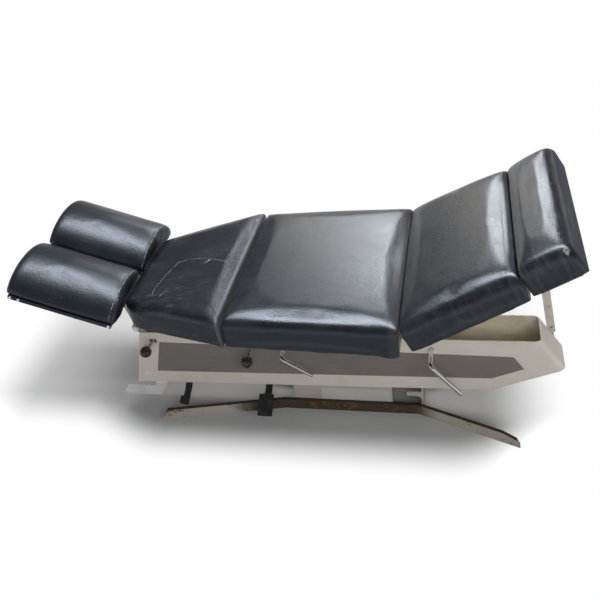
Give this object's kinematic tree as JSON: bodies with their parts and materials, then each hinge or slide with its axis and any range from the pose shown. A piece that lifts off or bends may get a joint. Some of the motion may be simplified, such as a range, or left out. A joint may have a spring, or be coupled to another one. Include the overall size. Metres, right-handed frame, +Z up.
{
  "type": "chiropractic table",
  "caption": "Low treatment table with a tilting split headpiece, thoracic, drop lumbar, raised pelvic and sliding foot cushions on a steel trough with pedestal, levers, cranks and pedals.",
  "frame": {"origin": "on the floor, at the middle of the table's length and width", "axes": "+X towards the foot end, +Y away from the side with the levers, +Z up"},
  "size_m": [1.5886, 0.6432, 0.7548],
  "materials": {
    "cream_enamel": "worn gloss enamel",
    "taupe_enamel": "satin enamel",
    "white_plate": "satin",
    "zinc_plate": "zinc plated",
    "bare_steel": "machined",
    "bright_chrome": "polished",
    "dark_board": "black stained plywood",
    "black_vinyl": "grained vinyl over foam",
    "black_knob": "moulded",
    "black_enamel": "satin enamel",
    "black_rubber": "moulded"
  },
  "bodies": {
    "frame": {"base_bar_near": "cream_enamel", "base_bar_far": "cream_enamel", "pedestal_near_panel": "cream_enamel", "pedestal_far_panel": "cream_enamel", "pedestal_head_plate": "cream_enamel", "pedestal_foot_plate": "cream_enamel", "blank_plate": "white_plate", "near_side_plate": "cream_enamel", "far_side_plate": "cream_enamel", "trough_pan": "cream_enamel", "head_end_plate": "cream_enamel", "foot_end_plate": "cream_enamel", "grey_panels": "taupe_enamel", "zinc_bracket": "zinc_plate", "frame_screws": "zinc_plate", "front_stand": "cream_enamel", "rear_stand": "cream_enamel", "rubber_bumpers": "black_rubber", "thoracic_stop": "bare_steel", "head_ears": "bare_steel", "head_hinge_pin": "zinc_plate", "thoracic_hinge_pin": "bare_steel", "lumbar_hinge_pin": "bare_steel", "leg_hinge_pin": "bare_steel", "lever_posts": "bare_steel", "crank_bushes": "bare_steel", "prop_stud": "bare_steel", "pedal_brackets": "bare_steel"},
    "headpiece": {"head_arm": "bare_steel", "head_boards": "dark_board", "head_cushion_near": "black_vinyl", "head_cushion_far": "black_vinyl", "head_tacks": "zinc_plate"},
    "thoracic_section": {"thoracic_carrier": "cream_enamel", "thoracic_board": "dark_board", "thoracic_cushion": "black_vinyl"},
    "lumbar_section": {"lumbar_carrier": "cream_enamel", "lumbar_drop_rod": "bare_steel", "lumbar_board": "dark_board", "lumbar_cushion": "black_vinyl"},
    "leg_section": {"leg_carrier": "cream_enamel", "slide_guides": "bare_steel", "pelvic_board": "dark_board", "pelvic_cushion": "black_vinyl", "prop_pin": "bare_steel"},
    "foot_section": {"foot_slide_rods": "bright_chrome", "foot_wedge": "bare_steel", "foot_board": "dark_board", "foot_cushion": "black_vinyl"},
    "prop": {"prop_arm": "cream_enamel"},
    "head_lock": {"head_lock_lever": "bright_chrome", "head_lock_knob": "black_knob"},
    "thoracic_lock": {"thoracic_lever": "bright_chrome", "thoracic_knob": "black_knob"},
    "lumbar_crank": {"lumbar_crank": "bright_chrome"},
    "pelvic_crank": {"pelvic_crank": "bright_chrome"},
    "head_pedal": {"head_pedal": "black_enamel", "head_pedal_pad": "black_rubber"},
    "middle_pedal": {"middle_pedal": "black_enamel", "middle_pedal_pad": "black_rubber"}
  },
  "joints": [
    {"name": "headpiece_tilt", "type": "hinge", "parent": "frame", "child": "headpiece", "pos_m": [-0.53468, 0, 0.318], "axis": [0, 1, 0], "range_deg": [-25, 0]},
    {"name": "thoracic_tilt", "type": "hinge", "parent": "frame", "child": "thoracic_section", "pos_m": [-0.15068, 0, 0.436], "axis": [0, 1, 0], "range_deg": [-10, 0]},
    {"name": "lumbar_drop", "type": "hinge", "parent": "frame", "child": "lumbar_section", "pos_m": [0.31032, 0, 0.436], "axis": [0, 1, 0], "range_deg": [-1.5, 0]},
    {"name": "leg_tilt", "type": "hinge", "parent": "frame", "child": "leg_section", "pos_m": [0.35601, 0, 0.45], "axis": [0, 1, 0], "range_deg": [0, 28]},
    {"name": "foot_slide", "type": "slide", "parent": "leg_section", "child": "foot_section", "axis": [0.8829, 0, 0.4695], "range_m": [0, 0.09]},
    {"name": "prop_swing", "type": "hinge", "parent": "leg_section", "child": "prop", "pos_m": [0.69562, 0, 0.5966], "axis": [0, 1, 0], "range_deg": [0, 72.1]},
    {"name": "head_lock_swing", "type": "hinge", "parent": "frame", "child": "head_lock", "pos_m": [-0.47268, -0.03, 0.283], "axis": [0, 0, 1], "range_deg": [-7.5, 7.5]},
    {"name": "thoracic_lock_swing", "type": "hinge", "parent": "frame", "child": "thoracic_lock", "pos_m": [-0.14468, -0.03, 0.283], "axis": [0, 0, 1], "range_deg": [-6.5, 6.5]},
    {"name": "lumbar_crank_turn", "type": "hinge", "parent": "frame", "child": "lumbar_crank", "pos_m": [-0.04368, 0, 0.264], "axis": [0, 1, 0], "range_deg": [-60, 40]},
    {"name": "pelvic_crank_turn", "type": "hinge", "parent": "frame", "child": "pelvic_crank", "pos_m": [0.40832, 0, 0.264], "axis": [0, 1, 0], "range_deg": [-60, 30]},
    {"name": "head_pedal_press", "type": "hinge", "parent": "frame", "child": "head_pedal", "pos_m": [-0.40468, -0.038, 0.096], "axis": [1, 0, 0], "range_deg": [0, 8]},
    {"name": "middle_pedal_press", "type": "hinge", "parent": "frame", "child": "middle_pedal", "pos_m": [-0.12268, -0.038, 0.096], "axis": [1, 0, 0], "range_deg": [0, 8]}
  ],
  "couplings": [
    {"joint": "prop_swing", "follows": "leg_tilt", "ratio": 2.5714}
  ]
}
